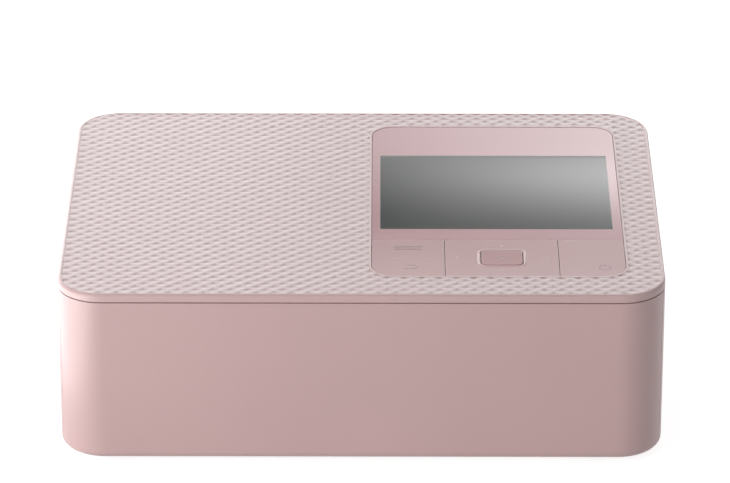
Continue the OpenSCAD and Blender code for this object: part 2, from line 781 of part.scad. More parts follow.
module ok_key() color("#ad8b8e") {
  translate([nav_x - ok_w / 2, key_mid_y - ok_d / 2, key_under]) linear_extrude(body_h - key_under)
    round_rect(ok_w, ok_d, 1.6);
  stem(stems()[6], key_under + eps);
}

module power_key() color("#b58f92") {
  translate([0, 0, key_under]) linear_extrude(key_top - key_under) key_outline(power_x0, panel_right);
  stem(stems()[7], key_under + eps);
}

// ---------- chassis and paper path ----------

// Outline common to both side plates, as [y, z]
module side_outline() {
  foot = floor_z + fit_gap / 2;
  difference() {
    translate([plate_front, foot]) round_rect(plate_back - plate_front, plate_top - foot, 1.5);
    for (p = [grip_at, pinch_at, platen_at, pickup_at]) translate(p) circle(shaft_r + bush_wall);
    translate([plate_front - 1, floor_z]) square([16, 6]);
    translate([40, floor_z]) square([12, 5]);
    translate(head_pivot) circle(1.5);
  }
}

module left_side_plate() color("#b9bcc0") {
  run_x(outer_left, left_x) difference() {
    side_outline();
    translate(motor_at) circle(pitch_r(feed_module, pinion_teeth) + 2);
    for (p = [front_spool_at, rear_spool_at]) translate(p) circle(2.4 + run_gap);
  }
  // Stud of the idler, and the posts of the drive bracket
  rod_x(gear_x0 - 0.6, outer_left + eps, idler_at, 1.5);
  for (p = bracket_posts()) rod_x(bracket_x1, outer_left + eps, p, 2.2);
}

function bracket_posts() = [[-24, 9], [22, plate_top - 2.5], [-24, plate_top - 3], [plate_back - 3, 10]];

// Right plate, with the window that the ink cassette passes through
module right_side_plate() color("#b9bcc0") {
  top = spool_z + spool_r + 1;
  run_x(plate_right, outer_right) difference() {
    side_outline();
    translate([front_spool_y - spool_r - 0.5, duct_z0 + duct_wall])
      square([2 * spool_r + 1, top - duct_z0 - duct_wall]);
    translate([rear_spool_y - spool_r - 0.5, duct_z0 + duct_wall])
      square([2 * spool_r + 1, top - duct_z0 - duct_wall]);
    translate([front_spool_y, pinch_at[1] + pinch_r + 2.2])
      square([rear_spool_y - front_spool_y, top - pinch_at[1] - pinch_r - 2.2]);
  }
}

module cross_braces() color("#aeb1b5") {
  x0 = left_x + fit_gap / 2;
  x1 = plate_right - fit_gap / 2;
  for (b = [[plate_front + 2, plate_front + 9], [-9, -2.5]]) {
    block([x0, b[0], plate_top - 1.6], [x1, b[1], plate_top - 0.6]);
    for (x = [x0, x1 - 1]) block([x, b[0], plate_top - 8], [x + 1, b[1], plate_top - 0.6]);
  }
}

// Channel that guides the paper cassette
module cassette_guide() color("#4a4648") {
  y0 = frame_back + 0.3;
  z0 = floor_z + fit_gap / 2;
  rail_h = 7;
  difference() {
    block([left_x + 0.6, y0, z0], [plate_right - 0.6, -9, port_floor]);
    block([paper_x - 9, lift_pivot[0] - 4, z0 - 1], [paper_x + 9, lift_pivot[0] + 24, port_floor + 1]);
  }
  for (s = [-1, 1]) {
    rail_x = paper_x + s * (port_w / 2 + 1.1);
    block([rail_x - 0.9, y0, port_floor - eps], [rail_x + 0.9, -9, port_floor + rail_h]);
    block([rail_x - 0.9 - (s > 0 ? 0 : 0.8), y0, port_floor + rail_h - 1.2],
          [rail_x + 0.9 + (s > 0 ? 0.8 : 0), -9, port_floor + rail_h]);
  }
}

// Lever that raises the paper towards the pickup roller
module paper_lift_lever() color("#d8d4d0") {
  run_x(paper_x - 6, paper_x + 6) difference() {
    union() {
      translate(lift_pivot) circle(1.9);
      translate([lift_pivot[0], lift_pivot[1] - 1.2]) square([20, 2]);
      translate([lift_pivot[0] + 20, lift_pivot[1] - 0.2]) circle(1);
    }
    translate(lift_pivot) circle(0.4);
  }
  for (s = [-1, 1]) rod_x(paper_x + s * 7.1 - 1.2, paper_x + s * 7.1 + 1.2, lift_pivot, pin_r);
}

module rear_paper_guide() color("#4a4648") {
  y0 = platen_at[0] + platen_r + 1.2;
  run_x(left_x + 1, plate_right - 1) polygon([
    [y0, paper_z - 2.6], [y0 + 3, paper_z - 0.9], [inner_back - 0.3, paper_z - 0.9],
    [inner_back - 0.3, paper_z - 2.1], [y0 + 3.4, paper_z - 2.1], [y0 + 1, paper_z - 4]
  ]);
  for (s = [-1:1]) {
    x = paper_x + s * (chassis_w / 2 - 15);
    block([x - 1, y0 + 6, floor_z + fit_gap / 2], [x + 1, inner_back - 0.5, paper_z - 2]);
  }
}

// Troughs under the two spools, and the duct to the ink cover
module ink_cassette_guide() color("#4a4648") {
  y0 = duct_y0;
  y1 = duct_y1;
  x0 = outer_right + 0.2;
  x1 = inner_x - 5.2;
  run_x(x0, x1) difference() {
    translate([y0, duct_z0]) square([y1 - y0, duct_z1 - duct_z0]);
    translate([y0 + duct_wall, duct_z0 + duct_wall])
      square([y1 - y0 - 2 * duct_wall, duct_z1 - duct_z0 - 2 * duct_wall]);
  }
  for (y = [front_spool_y, rear_spool_y])
    run_x(left_x + 0.6, plate_right - 0.2) intersection() {
      difference() {
        translate([y, spool_z]) circle(spool_r + 1.4 + duct_wall);
        translate([y, spool_z]) circle(spool_r + 1.4);
      }
      translate([y - spool_r, duct_z0]) square([2 * spool_r, 6.5]);
    }
  for (s = [-1, 1])
    difference() {
      block([lever_pivot[0] - 2, lever_y + s * (lever_w / 2 + 1.1) - 0.8, duct_z0 + duct_wall - eps],
            [lever_pivot[0] + 2, lever_y + s * (lever_w / 2 + 1.1) + 0.8, lever_pivot[1] + 2]);
      rod_y(lever_y - lever_w, lever_y + lever_w, lever_pivot, pin_r + run_gap);
    }
}

// Finger lever that lets the ink cassette go
module ink_eject_lever() color("#c8c4c2") {
  len = 19;
  run_y(lever_y - lever_w / 2, lever_y + lever_w / 2) difference() {
    union() {
      translate(lever_pivot) circle(2);
      translate([lever_pivot[0], lever_pivot[1] - 1.2]) square([len, 2.2]);
      translate([lever_pivot[0] + len - 1.4, lever_pivot[1] - 1.2]) square([1.4, 4.6]);
    }
    for (k = [0:3]) translate([lever_pivot[0] + len - 8 + 1.6 * k, lever_pivot[1] + 0.7]) square([0.6, 1]);
  }
  for (s = [-1, 1]) rod_y(lever_y + s * (lever_w / 2 + 0.9) - 1.1, lever_y + s * (lever_w / 2 + 0.9) + 1.1,
                          lever_pivot, pin_r);
}

module roller_bushes() color("#e6e1d8") {
  for (p = [grip_at, pinch_at, platen_at, pickup_at]) {
    for (x = [outer_left - 0.6, plate_right - 1]) run_x(x, x + bush_t - 0.3) difference() {
      translate(p) circle(shaft_r + bush_wall - 0.02);
      translate(p) circle(shaft_r + run_gap);
    }
  }
}

// ---------- rollers ----------

roll_x0 = left_x + 3;
roll_x1 = plate_right - 3;
shaft_right = outer_right + 2.5;

module roller_shaft(at, left_end) rod_x(left_end, shaft_right, at, shaft_r);

module pickup_shaft() color("silver") roller_shaft(pickup_at, gear_x0);

// Two rubber tyres on ribbed hubs
module pickup_roller() color("#3c3c3e")
  for (x = [paper_x - 22, paper_x + 22]) difference() {
    rod_x(x - 6, x + 6, pickup_at, pickup_r);
    rod_x(x - 7, x + 7, pickup_at, shaft_r);
    for (a = [30:60:330]) translate([0, pickup_at[0], pickup_at[1]]) rotate([a, 0, 0])
      rod_x(x - 7, x + 7, [5, 0], 1.7);
  }

module grip_roller() color("silver") {
  rod_x(roll_x0, roll_x1, grip_at, grip_r);
  roller_shaft(grip_at, gear_x0);
}

module pinch_roller() color("#55585c") {
  rod_x(roll_x0, roll_x1, pinch_at, pinch_r);
  rod_x(outer_left - 1, outer_right, pinch_at, shaft_r);
}

module platen_shaft() color("silver") roller_shaft(platen_at, outer_left - 1);

module platen_roller() color("#2c2c2e") difference() {
  rod_x(roll_x0 + 2, roll_x1 - 2, platen_at, platen_r);
  rod_x(roll_x0, roll_x1, platen_at, shaft_r);
}

// ---------- print head ----------

module lifted() translate([0, head_pivot[0], head_pivot[1]]) rotate([-head_lift, 0, 0])
  translate([0, -head_pivot[0], -head_pivot[1]]) children();

module thermal_head() color("#d9d4c4") lifted() {
  x0 = paper_x - head_half;
  x1 = paper_x + head_half;
  block([x0, head_y0, paper_z + 0.5], [x1, head_y1, paper_z + 0.5 + head_bar_t]);
  rod_x(x0 + 1, x1 - 1, [platen_at[0], paper_z + 0.95], 0.75);
}

module head_heat_sink() color("#b4b7ba") lifted() {
  z0 = paper_z + 0.5 + head_bar_t;
  fin = 1;
  count = 5;
  pitch = (head_y1 - head_y0 - fin) / (count - 1);
  block([paper_x - head_half, head_y0, z0], [paper_x + head_half, head_y1, z0 + 3]);
  for (k = [0:count - 1])
    block([paper_x - head_half, head_y0 + k * pitch, z0 + 3 - eps],
          [paper_x + head_half, head_y0 + k * pitch + fin, sink_top]);
}

// Two side arms and the bar over the rear spool
module head_arm() color("#c2c5c9") lifted() {
  sink_z = paper_z + 0.5 + head_bar_t;
  for (x = [paper_x - chassis_w / 2 + 3, arm_x - 2]) run_x(x, x + 2) difference() {
    union() {
      translate(head_pivot) circle(3.5);
      polygon([
        [head_pivot[0], head_pivot[1] + 3.5], [head_pivot[0], head_pivot[1] - 3],
        [rear_spool_y, sink_top + 3.8], [head_y1 + 3, sink_top - 1.6], [head_y1 + 2, sink_z + 2], [head_y0, sink_z + 2],
        [head_y0, sink_top], [head_y1, sink_top + 1]
      ]);
    }
    translate(head_pivot) circle(1.5 + run_gap);
  }
  // Lugs that bolt the arms to the heat sink
  for (x = [paper_x - head_half - 4, paper_x + head_half + 0.05])
    block([x, head_y0 + 2, sink_z + 2.6], [x + 3.95, head_y1 - 2, sink_z + 8]);
}

module head_pivot_shaft() color("silver")
  rod_x(outer_left - 1, outer_right + 1, head_pivot, 1.5 - eps);

module head_springs() color("#9a9ca0")
  for (x = [paper_x - chassis_w / 2 + 6, arm_x - 12])
    coil_x(x, x + 6.5, head_pivot, 2.5, 0.35, 5);

// ---------- drives ----------

module feed_motor() color("#8d9094") {
  body_r = feed_motor_d / 2;
  rod_x(motor_x0, bracket_x0 - fit_gap / 2, motor_at, body_r);
  rod_x(bracket_x0 - 1, bracket_x1 + 0.4, motor_at, 4);
  rod_x(bracket_x1, gear_x1 + 0.6, motor_at, 1);
  run_x(bracket_x0 - 0.9, bracket_x0 - fit_gap / 2) for (s = [-1, 1])
    translate([motor_at[0] + s * 21, motor_at[1]]) difference() {
      union() {
        circle(3.5);
        translate([s > 0 ? -6 : 0, -3.5]) square([6, 7]);
      }
      circle(1.5);
    }
}

// Plate that carries both motors beside the gears
module drive_bracket() color("#aeb1b5") run_x(bracket_x0, bracket_x1) difference() {
  low = floor_z + 1.5;
  top = plate_top + 2;
  union() {
    translate([-27, low]) round_rect(54, top - low, 2);
    translate([20, spool_z - 1]) round_rect(plate_back - 31, top - spool_z + 1, 2);
    translate([plate_back - 9, low]) round_rect(9.4, top - 4 - low, 2);
    translate([plate_back - 15, top - 8]) round_rect(15.4, 8, 2);
  }
  translate(motor_at) circle(4 + run_gap);
  translate(ribbon_motor_at) circle(3 + run_gap);
  translate(idler_at) circle(2.4);
  translate(grip_at) circle(4);
  translate(pickup_at) circle(4);
  for (s = [-1, 1]) translate([motor_at[0] + s * 21, motor_at[1]]) circle(1.4);
}

module motor_pinion() color("#c9a24a")
  gear(feed_module, pinion_teeth, motor_at, pinion_phase, gear_x0, gear_x1, 1 + run_gap);

module idler_gear() color("#ece8e0")
  gear(feed_module, idler_teeth, idler_at, idler_phase, gear_x0, gear_x1, 1.5 + run_gap);

module grip_gear() color("#ece8e0")
  gear(feed_module, grip_teeth, grip_at, grip_phase, gear_x0, gear_x1, shaft_r);

module pickup_gear() color("#ece8e0")
  gear(feed_module, pickup_teeth, pickup_at, pickup_phase, gear_x0, gear_x1, shaft_r);

module ribbon_motor() color("#8d9094") {
  rod_x(motor_x0, bracket_x0 - fit_gap / 2, ribbon_motor_at, ribbon_motor_d / 2);
  rod_x(bracket_x0 - 1, bracket_x1 + 0.4, ribbon_motor_at, 3);
  rod_x(bracket_x1, gear_x1 + 0.6, ribbon_motor_at, 0.8);
}

module ribbon_pinion() color("#c9a24a")
  gear(ribbon_module, ribbon_pinion_teeth, ribbon_motor_at, ribbon_pinion_phase,
       gear_x0, gear_x1, 0.8 + run_gap);

// Splined hub that enters the end of a spool
module spool_hub(at, end) {
  rod_x(left_x + 0.15, left_x + 1.3, at, 5);
  run_x(left_x + 1.2, left_x + 5) translate(at) {
    circle(2.4);
    for (k = [0:2]) rotate(120 * k) translate([0, -0.6]) square([3.8, 1.2]);
  }
  rod_x(end, left_x + 0.2, at, 2.4);
}

module ribbon_drive_gear() color("#ece8e0") {
  gear(ribbon_module, ribbon_teeth, rear_spool_at, ribbon_phase, gear_x0, gear_x1, 2);
  spool_hub(rear_spool_at, gear_x0);
}

module supply_hub() color("#ece8e0") {
  spool_hub(front_spool_at, outer_left - 1.2);
  rod_x(outer_left - 1.2, outer_left - 0.2, front_spool_at, 4);
}

module fan_frame() color("#2a2b2d") {
  x0 = -inner_x + 0.25;
  mid = [fan_y + fan_side / 2, fan_z + fan_side / 2];
  run_x(x0, x0 + fan_t) difference() {
    translate([fan_y, fan_z]) round_rect(fan_side, fan_side, 2);
    translate(mid) circle(fan_side / 2 - 1.2);
    for (a = [0:90:270]) translate(mid) rotate(a) translate([fan_side / 2 - 3, fan_side / 2 - 3]) circle(1.5);
  }
  run_x(x0 + fan_t - 1.2, x0 + fan_t) for (a = [0:120:240])
    translate(mid) rotate(a) translate([5, -0.8]) square([fan_side / 2 - 5.8, 1.6]);
  rod_x(x0 + fan_t - 1.2, x0 + fan_t, mid, 6);
  rod_x(x0 + 2, x0 + fan_t - 1, mid, 1);
}

module fan_rotor() color("#3a3b3e") {
  x0 = -inner_x + 0.25 + 0.6;
  x1 = -inner_x + 0.25 + fan_t - 1.7;
  mid = [fan_y + fan_side / 2, fan_z + fan_side / 2];
  translate([0, mid[0], mid[1]]) {
    difference() {
      union() {
        rod_x(x0, x1, [0, 0], 6);
        for (k = [0:6]) rotate([360 / 7 * k, 0, 0]) intersection() {
          translate([(x0 + x1) / 2, 0, 9]) rotate([0, 0, 38]) cube([1, 12, 7.4], center = true);
          rod_x(x0, x1, [0, 0], fan_side / 2 - 1.9);
        }
      }
      rod_x(x0 + 1, x1 + 1, [0, 0], 1 + run_gap);
    }
  }
}

// ---------- electronics ----------

module main_board() color("#2f6b46") block([main_x0, main_y0, main_z], [main_x1, main_y1, main_top]);

module board_parts() color("#26272a") {
  // Each is placed from the left edge and as a share of the board's depth, and then sized
  chips = [
    [1.8, 0.46, [9, 9, 1.2]], [13.8, 0.38, [6, 8, 1.2]], [1.8, 0.64, [7, 7, 1]],
    [11.8, 0.62, [8, 5, 2.5]], [0.8, 0.14, [5, 12, 4]], [11.8, 0.76, [7, 4, 2.6]]
  ];
  cans = [[4.3, 0.81, 8.5, 4], [4.3, 0.9, 8.5, 4], [16.3, 0.9, 6.5, 3]];
  depth = main_y1 - main_y0;
  for (c = chips) translate([main_x0 + c[0], main_y0 + c[1] * depth, main_top]) cube(c[2]);
  for (c = cans) translate([main_x0 + c[0], main_y0 + c[1] * depth, main_top]) cylinder(h = c[2], r = c[3]);
}

module card_socket() color("#b9bcc0") difference() {
  block([main_x0 + 7.3, card_y + 0.6, main_top], [inner_x - 0.3, card_y + card_w - 0.6, main_top + 3.6]);
  block([main_x0 + 9.3, card_y + 1.5, main_top + 0.7], [inner_x + 1, card_y + card_w - 1.5, main_top + 3]);
}

module usb_socket() color("#b9bcc0") run_y(inner_back - 8.2, inner_back - 0.2) difference() {
  translate([usb_x - 4.5, main_top]) round_rect(9, 3.3, 1.6);
  translate([usb_x - 4.1, main_top + 0.4]) round_rect(8.2, 2.5, 1.2);
  }

module power_inlet() color("#26272a") {
  difference() {
    block([inlet_x - 5, inner_back - 11, main_top], [inlet_x + 5, inner_back - 0.2, main_top + 10]);
    rod_y(inner_back - 9.5, inner_back + 1, [inlet_x, main_top + 5], 3.2);
  }
  rod_y(inner_back - 10, inner_back - 1.5, [inlet_x, main_top + 5], 0.9);
}

// Flat cable from the main board to the control board
module display_cable() color("#e8e4da") {
  t = 0.3;
  y = main_y0 + 1.2;
  x0 = main_x0 + 0.6;
  x1 = x0 + 6;
  top = board_under - 0.3;
  block([x0, y, main_top], [x1, y + 3, main_top + t]);
  block([x0, y - t, main_top], [x1, y, top]);
  block([x0, y - t, top - t], [x1, y + 3, top]);
}

case_shell();
base_plate();
top_cover();
front_cover();
front_cover_pins();
front_frame();
ink_cover();
ink_cover_pins();
rubber_feet();
case_screws();
display_window();
display_module();
panel_frame();
control_board();
key_switches();
menu_back_key();
nav_key();
nav_actuator();
ok_key();
power_key();
left_side_plate();
right_side_plate();
cross_braces();
cassette_guide();
paper_lift_lever();
rear_paper_guide();
ink_cassette_guide();
ink_eject_lever();
roller_bushes();
pickup_shaft();
pickup_roller();
grip_roller();
pinch_roller();
platen_shaft();
platen_roller();
thermal_head();
head_heat_sink();
head_arm();
head_pivot_shaft();
head_springs();
feed_motor();
drive_bracket();
motor_pinion();
idler_gear();
grip_gear();
pickup_gear();
ribbon_motor();
ribbon_pinion();
ribbon_drive_gear();
supply_hub();
fan_frame();
fan_rotor();
main_board();
board_parts();
card_socket();
usb_socket();
power_inlet();
display_cable();
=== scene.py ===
import math

import bmesh
import bpy
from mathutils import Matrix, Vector


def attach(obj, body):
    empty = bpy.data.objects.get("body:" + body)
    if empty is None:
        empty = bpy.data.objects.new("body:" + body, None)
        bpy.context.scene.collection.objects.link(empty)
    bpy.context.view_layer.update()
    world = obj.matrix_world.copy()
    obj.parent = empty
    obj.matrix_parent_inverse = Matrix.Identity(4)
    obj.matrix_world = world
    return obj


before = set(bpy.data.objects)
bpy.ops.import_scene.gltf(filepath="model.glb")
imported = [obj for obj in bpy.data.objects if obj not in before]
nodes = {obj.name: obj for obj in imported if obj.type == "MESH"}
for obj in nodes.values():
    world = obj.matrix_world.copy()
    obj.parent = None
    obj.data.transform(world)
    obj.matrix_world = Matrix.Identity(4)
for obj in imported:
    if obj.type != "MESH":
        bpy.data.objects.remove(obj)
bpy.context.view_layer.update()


# ---------- camera ----------
# A long lens, low in front of the printer, so that its upright edges stay upright and the
# lid shows as a shallow band over the front. Lengths are in metres.
aim = Vector((0.000935, 0.0, 0.043395))
reach = 1.469271
tilt = math.radians(25.703)
turn = math.radians(0.213)
lens = bpy.data.cameras.new("long_lens")
lens.lens = 233.12
lens.sensor_width = 36
lens.clip_start = 0.1
camera = bpy.data.objects.new("camera", lens)
bpy.context.scene.collection.objects.link(camera)
camera.location = aim + reach * Vector(
    (math.sin(turn) * math.cos(tilt), -math.cos(turn) * math.cos(tilt), math.sin(tilt)))
camera.rotation_euler = (aim - camera.location).to_track_quat("-Z", "Y").to_euler()
bpy.context.scene.camera = camera
bpy.context.scene.view_settings.view_transform = "Standard"


# ---------- studio ----------
# A pale paper floor in a white tent. A broad low soft box behind the printer skims the lid, a
# second one and a fill light the left and the front, and a weak fill lifts the right side.
def add_node(tree, kind, inputs=None, **settings):
    """A node in a tree, with settings on the node and plain values or links on its sockets."""
    new = tree.nodes.new(kind)
    for name, value in settings.items():
        setattr(new, name, value)
    for name, value in (inputs or {}).items():
        if isinstance(value, bpy.types.NodeSocket):
            tree.links.new(value, new.inputs[name])
        else:
            new.inputs[name].default_value = value
    return new


def reckon(tree, operation, first, second):
    """The result of a sum on two values or links."""
    return add_node(tree, "ShaderNodeMath", {0: first, 1: second}, operation=operation).outputs[0]


def ramp(tree, value, low, high, start=0.0, end=1.0, **settings):
    """Goes from start to end while value goes from low to high, and stays level beyond."""
    return add_node(tree, "ShaderNodeMapRange",
                    {"Value": value, "From Min": low, "From Max": high,
                     "To Min": start, "To Max": end}, **settings).outputs[0]


def blended(tree, factor, first, second, kind="RGBA"):
    """Goes from the first colour or value to the second as factor goes from 0 to 1."""
    both = add_node(tree, "ShaderNodeMix", {"Factor": factor, "A": first, "B": second},
                    data_type=kind)
    return both.outputs["Result"]


def along(tree, axis):
    """How far along X, Y or Z a point lies, in the piece's own space."""
    place = add_node(tree, "ShaderNodeTexCoord").outputs["Object"]
    return add_node(tree, "ShaderNodeSeparateXYZ", {0: place}).outputs[axis]


def any_ray(tree, *kinds):
    """1 for a ray of one of these kinds, and 0 for any other."""
    rays = add_node(tree, "ShaderNodeLightPath").outputs
    seen = rays[kinds[0]]
    for kind in kinds[1:]:
        seen = reckon(tree, "MAXIMUM", seen, rays[kind])
    return seen


def studio_sheet(name, stuff_name, size, place, lean=0.0):
    """A flat sheet that belongs to the studio, of a stuff whose tree is still empty."""
    bpy.ops.object.select_all(action="DESELECT")
    bpy.ops.mesh.primitive_plane_add(size=1, location=(0, 0, 0))
    sheet = bpy.context.active_object
    sheet.name = name
    sheet.scale = (*size, 1)
    sheet.rotation_euler = (lean, 0, 0)
    sheet.location = place
    bpy.ops.object.transform_apply(location=True, rotation=True, scale=True)
    stuff = bpy.data.materials.new(stuff_name)
    stuff.use_nodes = True
    stuff.node_tree.nodes.clear()
    sheet.data.materials.append(stuff)
    return sheet


def white_glow(tree, kind, strength):
    """White light of this strength from a surface (Emission) or from the sky (Background)."""
    return add_node(tree, "ShaderNode" + kind,
                    {"Color": (1.0, 1.0, 1.0, 1.0), "Strength": strength}).outputs[0]


def light_up(tree, surface, kind="Material"):
    """Ends a tree in its output."""
    tree.links.new(surface, add_node(tree, "ShaderNodeOutput" + kind).inputs["Surface"])


# The tent lights the printer softly, and looks white where the camera, gloss or glass shows it.
tent_light, tent_seen = 0.22, 1.0
tent = bpy.data.worlds.new("surround")
bpy.context.scene.world = tent
tent.use_nodes = True
tree = tent.node_tree
tree.nodes.clear()
seen = any_ray(tree, "Is Camera Ray", "Is Glossy Ray", "Is Transmission Ray")
light_up(tree, white_glow(tree, "Background", ramp(tree, seen, 0.0, 1.0, tent_light, tent_seen)),
         "World")

# The floor keeps the printer's shadow, and is otherwise as white as the tent.
paper_grey, paper_glow = (0.62, 0.62, 0.62, 1.0), 0.8
floor = studio_sheet("floor", "studio_paper", (8, 8), (0, 0, -0.0003))
tree = floor.data.materials[0].node_tree
glow = reckon(tree, "MULTIPLY", any_ray(tree, "Is Camera Ray", "Is Glossy Ray"), paper_glow)
matt = add_node(tree, "ShaderNodeBsdfDiffuse", {"Color": paper_grey})
light_up(tree, add_node(tree, "ShaderNodeAddShader",
                        {0: matt.outputs[0], 1: white_glow(tree, "Emission", glow)}).outputs[0])

lamps_look_at = Vector((0, 0, 0.03))
for name, place, size, watts in (
        ("back_soft_box", (-0.2, 0.95, 0.32), (1.8, 0.6), 10.8),
        ("left_soft_box", (-0.7, -0.12, 0.2), (0.7, 0.36), 1.7),
        ("right_fill", (0.75, -0.1, 0.2), (0.6, 0.3), 0.55),
        ("front_fill", (-0.6, -0.64, 0.36), (0.45, 0.45), 5.1)):
    lamp = bpy.data.lights.new(name, "AREA")
    lamp.shape = "RECTANGLE"
    lamp.size, lamp.size_y = size
    lamp.energy = watts
    box = bpy.data.objects.new(name, lamp)
    bpy.context.scene.collection.objects.link(box)
    box.location = place
    box.rotation_euler = (lamps_look_at - box.location).to_track_quat("-Z", "Y").to_euler()
    box.visible_glossy = name == "back_soft_box"

# A white card stands close behind the printer. The strip behind the display, the display and
# the keys each mirror their own height of it. It is brighter to the right, its image fades
# towards the front of the display, and it is level over the keys.
reflector = studio_sheet("reflector_card", "white_card", (0.16, 0.1), (0.06, 0.3, 0.19),
                         math.radians(90))
tree = reflector.data.materials[0].node_tree
across, up = along(tree, "X"), along(tree, "Z")
brightens, fades = (0.0, 0.095), (0.1888, 0.2114)
strip_begins, keys_begin = (0.1855, 0.181), (0.211, 0.216)
over_strip = ramp(tree, across, *brightens, 1.6, 3.2)
over_display = reckon(tree, "MULTIPLY", ramp(tree, across, *brightens, 1.19, 4.6),
                      reckon(tree, "POWER", ramp(tree, up, *fades, 1.0, 0.306), 1.35))
over_keys = 1.3
light = blended(tree, ramp(tree, up, *strip_begins), over_display, over_strip, "FLOAT")
light = blended(tree, ramp(tree, up, *keys_begin, interpolation_type="SMOOTHSTEP"),
                light, over_keys, "FLOAT")
light_up(tree, white_glow(tree, "Emission", light))

# A second card lies on the floor at the left and whitens the sheen of the case's left corner.
floor_card = studio_sheet("floor_card", "plain_card", (0.8, 0.9), (-0.53, 0.15, 0.0015))
tree = floor_card.data.materials[0].node_tree
light_up(tree, white_glow(tree, "Emission", 3.5))

# Only glossy faces see the cards.
for card in (reflector, floor_card):
    card.visible_camera = card.visible_diffuse = False
    card.visible_shadow = card.visible_transmission = False


# ---------- base, inner front and feet ----------
# The base plate, held in the case by snap tabs, and the fixed frame behind the front cover are
# moulded in matt rose ABS. Four round black rubber feet are set in recesses under the plate.
def colour(red, green, blue):
    """A colour as it shows on screen, for a socket that takes linear light."""
    levels = [c / 255 for c in (red, green, blue)]
    return tuple(c / 12.92 if c <= 0.04045 else ((c + 0.055) / 1.055) ** 2.4
                 for c in levels) + (1.0,)


def effect(name, inputs, outputs):
    """An empty node group with named sockets, for a surface that many finishes share."""
    made = bpy.data.node_groups.new(name, "ShaderNodeTree")
    for label, kind, default in inputs:
        socket = made.interface.new_socket(label, in_out="INPUT", socket_type=kind)
        socket.default_value = default
    for label, kind in outputs:
        made.interface.new_socket(label, in_out="OUTPUT", socket_type=kind)
    return (made, made.nodes.new("NodeGroupInput").outputs,
            made.nodes.new("NodeGroupOutput").inputs)


def noise(tree, place, scale, detail, roughness=0.5):
    """Cloudy noise about one cell per 1/scale metres."""
    return add_node(tree, "ShaderNodeTexNoise",
                    {"Vector": place, "Scale": scale, "Detail": detail,
                     "Roughness": roughness}).outputs[0]


# Moulded skin: rounded edges, the grain of the mould, faint flow marks and rubbed edges.
skin, given, result = effect(
    "moulded_skin",
    [("Colour", "NodeSocketColor", (0.5, 0.5, 0.5, 1)), ("Rough", "NodeSocketFloat", 0.4),
     ("Grain", "NodeSocketFloat", 2600.0), ("Depth", "NodeSocketFloat", 0.00002),
     ("Wear", "NodeSocketFloat", 0.25), ("Flow", "NodeSocketFloat", 0.04)],
    [("Colour", "NodeSocketColor"), ("Rough", "NodeSocketFloat"), ("Normal", "NodeSocketVector")])
place = add_node(skin, "ShaderNodeTexCoord").outputs["Object"]
rounded = add_node(skin, "ShaderNodeBevel", {"Radius": 0.0002}, samples=4).outputs[0]
pits = noise(skin, place, given["Grain"], 3.0, 0.6)
bump = add_node(skin, "ShaderNodeBump",
                {"Height": pits, "Distance": given["Depth"], "Normal": rounded})
drift = ramp(skin, noise(skin, place, 24.0, 2.0), 0.3, 0.7, -1.0, 1.0)
drift = reckon(skin, "MULTIPLY", drift, given["Flow"])
toned = add_node(skin, "ShaderNodeHueSaturation",
                 {"Color": given["Colour"], "Value": reckon(skin, "ADD", drift, 1.0)})
flat = add_node(skin, "ShaderNodeNewGeometry").outputs["Normal"]
turned = add_node(skin, "ShaderNodeVectorMath", {0: rounded, 1: flat}, operation="DOT_PRODUCT")
edge = ramp(skin, turned.outputs["Value"], 0.995, 0.75)
rubbed = ramp(skin, noise(skin, place, 300.0, 4.0), 0.42, 0.62)
rubbed = reckon(skin, "MULTIPLY", reckon(skin, "MULTIPLY", edge, rubbed), given["Wear"])
skin.links.new(blended(skin, rubbed, toned.outputs[0], (0.8, 0.78, 0.77, 1)), result["Colour"])
smear = reckon(skin, "MULTIPLY", drift, 0.8)
skin.links.new(reckon(skin, "ADD", smear, given["Rough"]), result["Rough"])
skin.links.new(bump.outputs[0], result["Normal"])


def surfaced(name, effect_tree, values):
    """A material with one effect group on its shader, and the group's own values."""
    made = bpy.data.materials.new(name)
    made.use_nodes = True
    tree = made.node_tree
    shader = tree.nodes["Principled BSDF"]
    surface = add_node(tree, "ShaderNodeGroup", node_tree=effect_tree)
    for label, value in values.items():
        surface.inputs[label].default_value = value
    for label, socket in (("Colour", "Base Color"), ("Rough", "Roughness"), ("Normal", "Normal")):
        tree.links.new(surface.outputs[label], shader.inputs[socket])
    return made, shader


def moulding(name, base, rough, grain=2600.0, depth=0.00002, wear=0.25, flow=0.04, gloss=0.5):
    """A moulded or printed finish. Grain is per metre, and depth is its relief in metres."""
    made, shader = surfaced(name, skin, {"Colour": base, "Rough": rough, "Grain": grain,
                                         "Depth": depth, "Wear": wear, "Flow": flow})
    shader.inputs["Specular IOR Level"].default_value = gloss
    return made


def dress(material, *names):
    """Puts one finish on all the faces of these carried-over parts."""
    for name in names:
        data = nodes[name].data
        if not data.materials:
            data.materials.append(material)
        for slot in nodes[name].material_slots:
            slot.material = material


inner_rose = moulding("rose_matt_inside", colour(168, 138, 139), 0.62, depth=0.00003, wear=0.1)
dress(inner_rose, "base_plate", "front_frame")
rubber = moulding("black_rubber", colour(48, 48, 49), 0.75, grain=1800.0, depth=0.00004)
dress(rubber, "rubber_feet")


